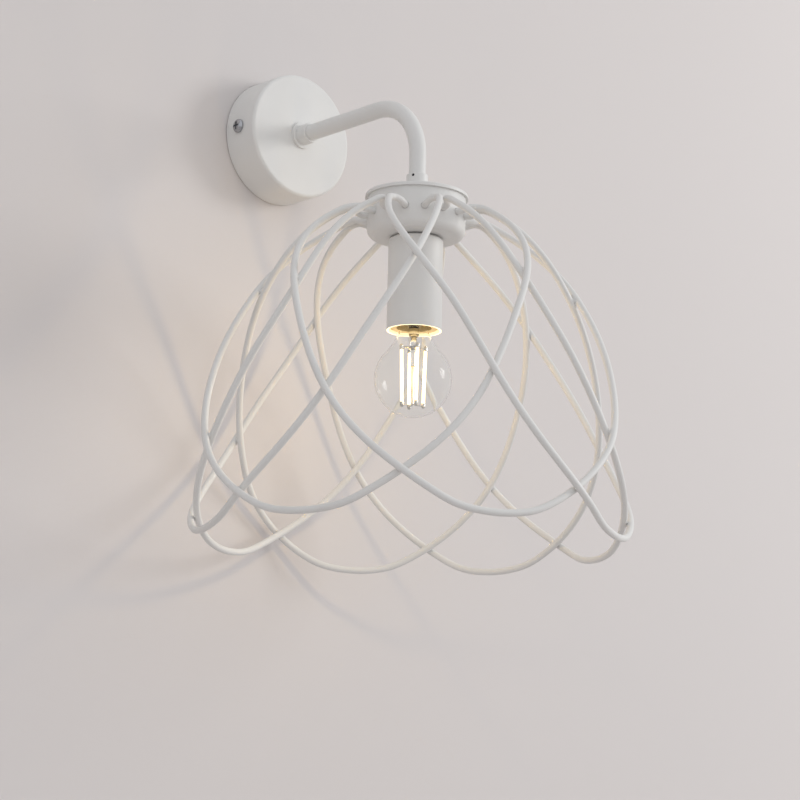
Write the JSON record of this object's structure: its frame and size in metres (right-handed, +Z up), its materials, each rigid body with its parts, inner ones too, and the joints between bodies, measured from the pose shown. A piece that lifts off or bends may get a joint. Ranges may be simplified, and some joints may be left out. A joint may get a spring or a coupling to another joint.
{
  "type": "cage wall light",
  "caption": "Wall light with a round canopy, a bent tube arm and a bell-shaped cage of crossing wire loops round a small globe bulb.",
  "frame": {"origin": "middle of the wall bracket's back face, on the wall, level with the arm", "axes": "+Z up along the wall, +Y into the wall, +X along the wall to the right as seen from the room; the light stands out along -Y"},
  "size_m": [0.2553, 0.2601, 0.3086],
  "materials": {
    "powder_coat": "matte off-white powder coat with a fine grain",
    "zinc_steel": "zinc-plated steel",
    "chrome_screw": "bright plated",
    "brass": "drawn brass, satin",
    "block_nylon": "moulded nylon",
    "holder_plastic": "moulded heat-proof plastic",
    "lead_insulation": "smooth sleeve",
    "clear_glass": "clear, smooth",
    "cap_nickel": "nickel plate, satin",
    "cap_bead": "black glass bead",
    "support_wire": "drawn wire",
    "filament": "coated glowing sticks"
  },
  "bodies": {
    "light": {"canopy_cover": "powder_coat", "arm_flange": "powder_coat", "arm_coupling": "powder_coat", "arm_tube": "powder_coat", "hub_collar": "powder_coat", "hub_lid": "powder_coat", "hub_cup": "powder_coat", "lamp_sleeve": "powder_coat", "cage_loop_1": "powder_coat", "cage_loop_2": "powder_coat", "cage_loop_3": "powder_coat", "cage_loop_4": "powder_coat", "cage_loop_5": "powder_coat", "cage_loop_6": "powder_coat", "cage_loop_7": "powder_coat", "cage_loop_8": "powder_coat", "wall_bracket": "zinc_steel", "canopy_nut": "zinc_steel", "canopy_lock_washer": "zinc_steel", "hub_nut": "zinc_steel", "wire_drum": "zinc_steel", "spacer_washer": "zinc_steel", "threaded_nipple": "zinc_steel", "block_screw": "zinc_steel", "earth_screw": "zinc_steel", "earth_washer": "zinc_steel", "grub_screw": "zinc_steel", "terminal_screws": "zinc_steel", "canopy_screws": "chrome_screw", "terminal_barrels": "brass", "holder_terminals": "brass", "screw_shell": "brass", "contact_rivet": "brass", "contact_tab": "brass", "terminal_block": "block_nylon", "holder_cap": "holder_plastic", "holder_body": "holder_plastic", "leads": "lead_insulation"},
    "bulb": {"glass_globe": "clear_glass", "screw_cap": "cap_nickel", "cap_insulator": "cap_bead", "cap_button": "cap_nickel", "glass_stem": "clear_glass"},
    "bulb_core": {"support_wires": "support_wire", "filaments": "filament"}
  },
  "joints": [
    {"name": "bulb_unscrew", "type": "slide", "parent": "light", "child": "bulb", "axis": [0, 0, -1], "range_m": [0, 0.0141]},
    {"name": "bulb_turn", "type": "hinge", "parent": "bulb", "child": "bulb_core", "pos_m": [0, -0.132, -0.17], "axis": [0, 0, -1], "range_deg": [0, 1801]}
  ],
  "couplings": [
    {"joint": "bulb_turn", "follows": "bulb_unscrew", "rad_per_m": 2228.1}
  ]
}
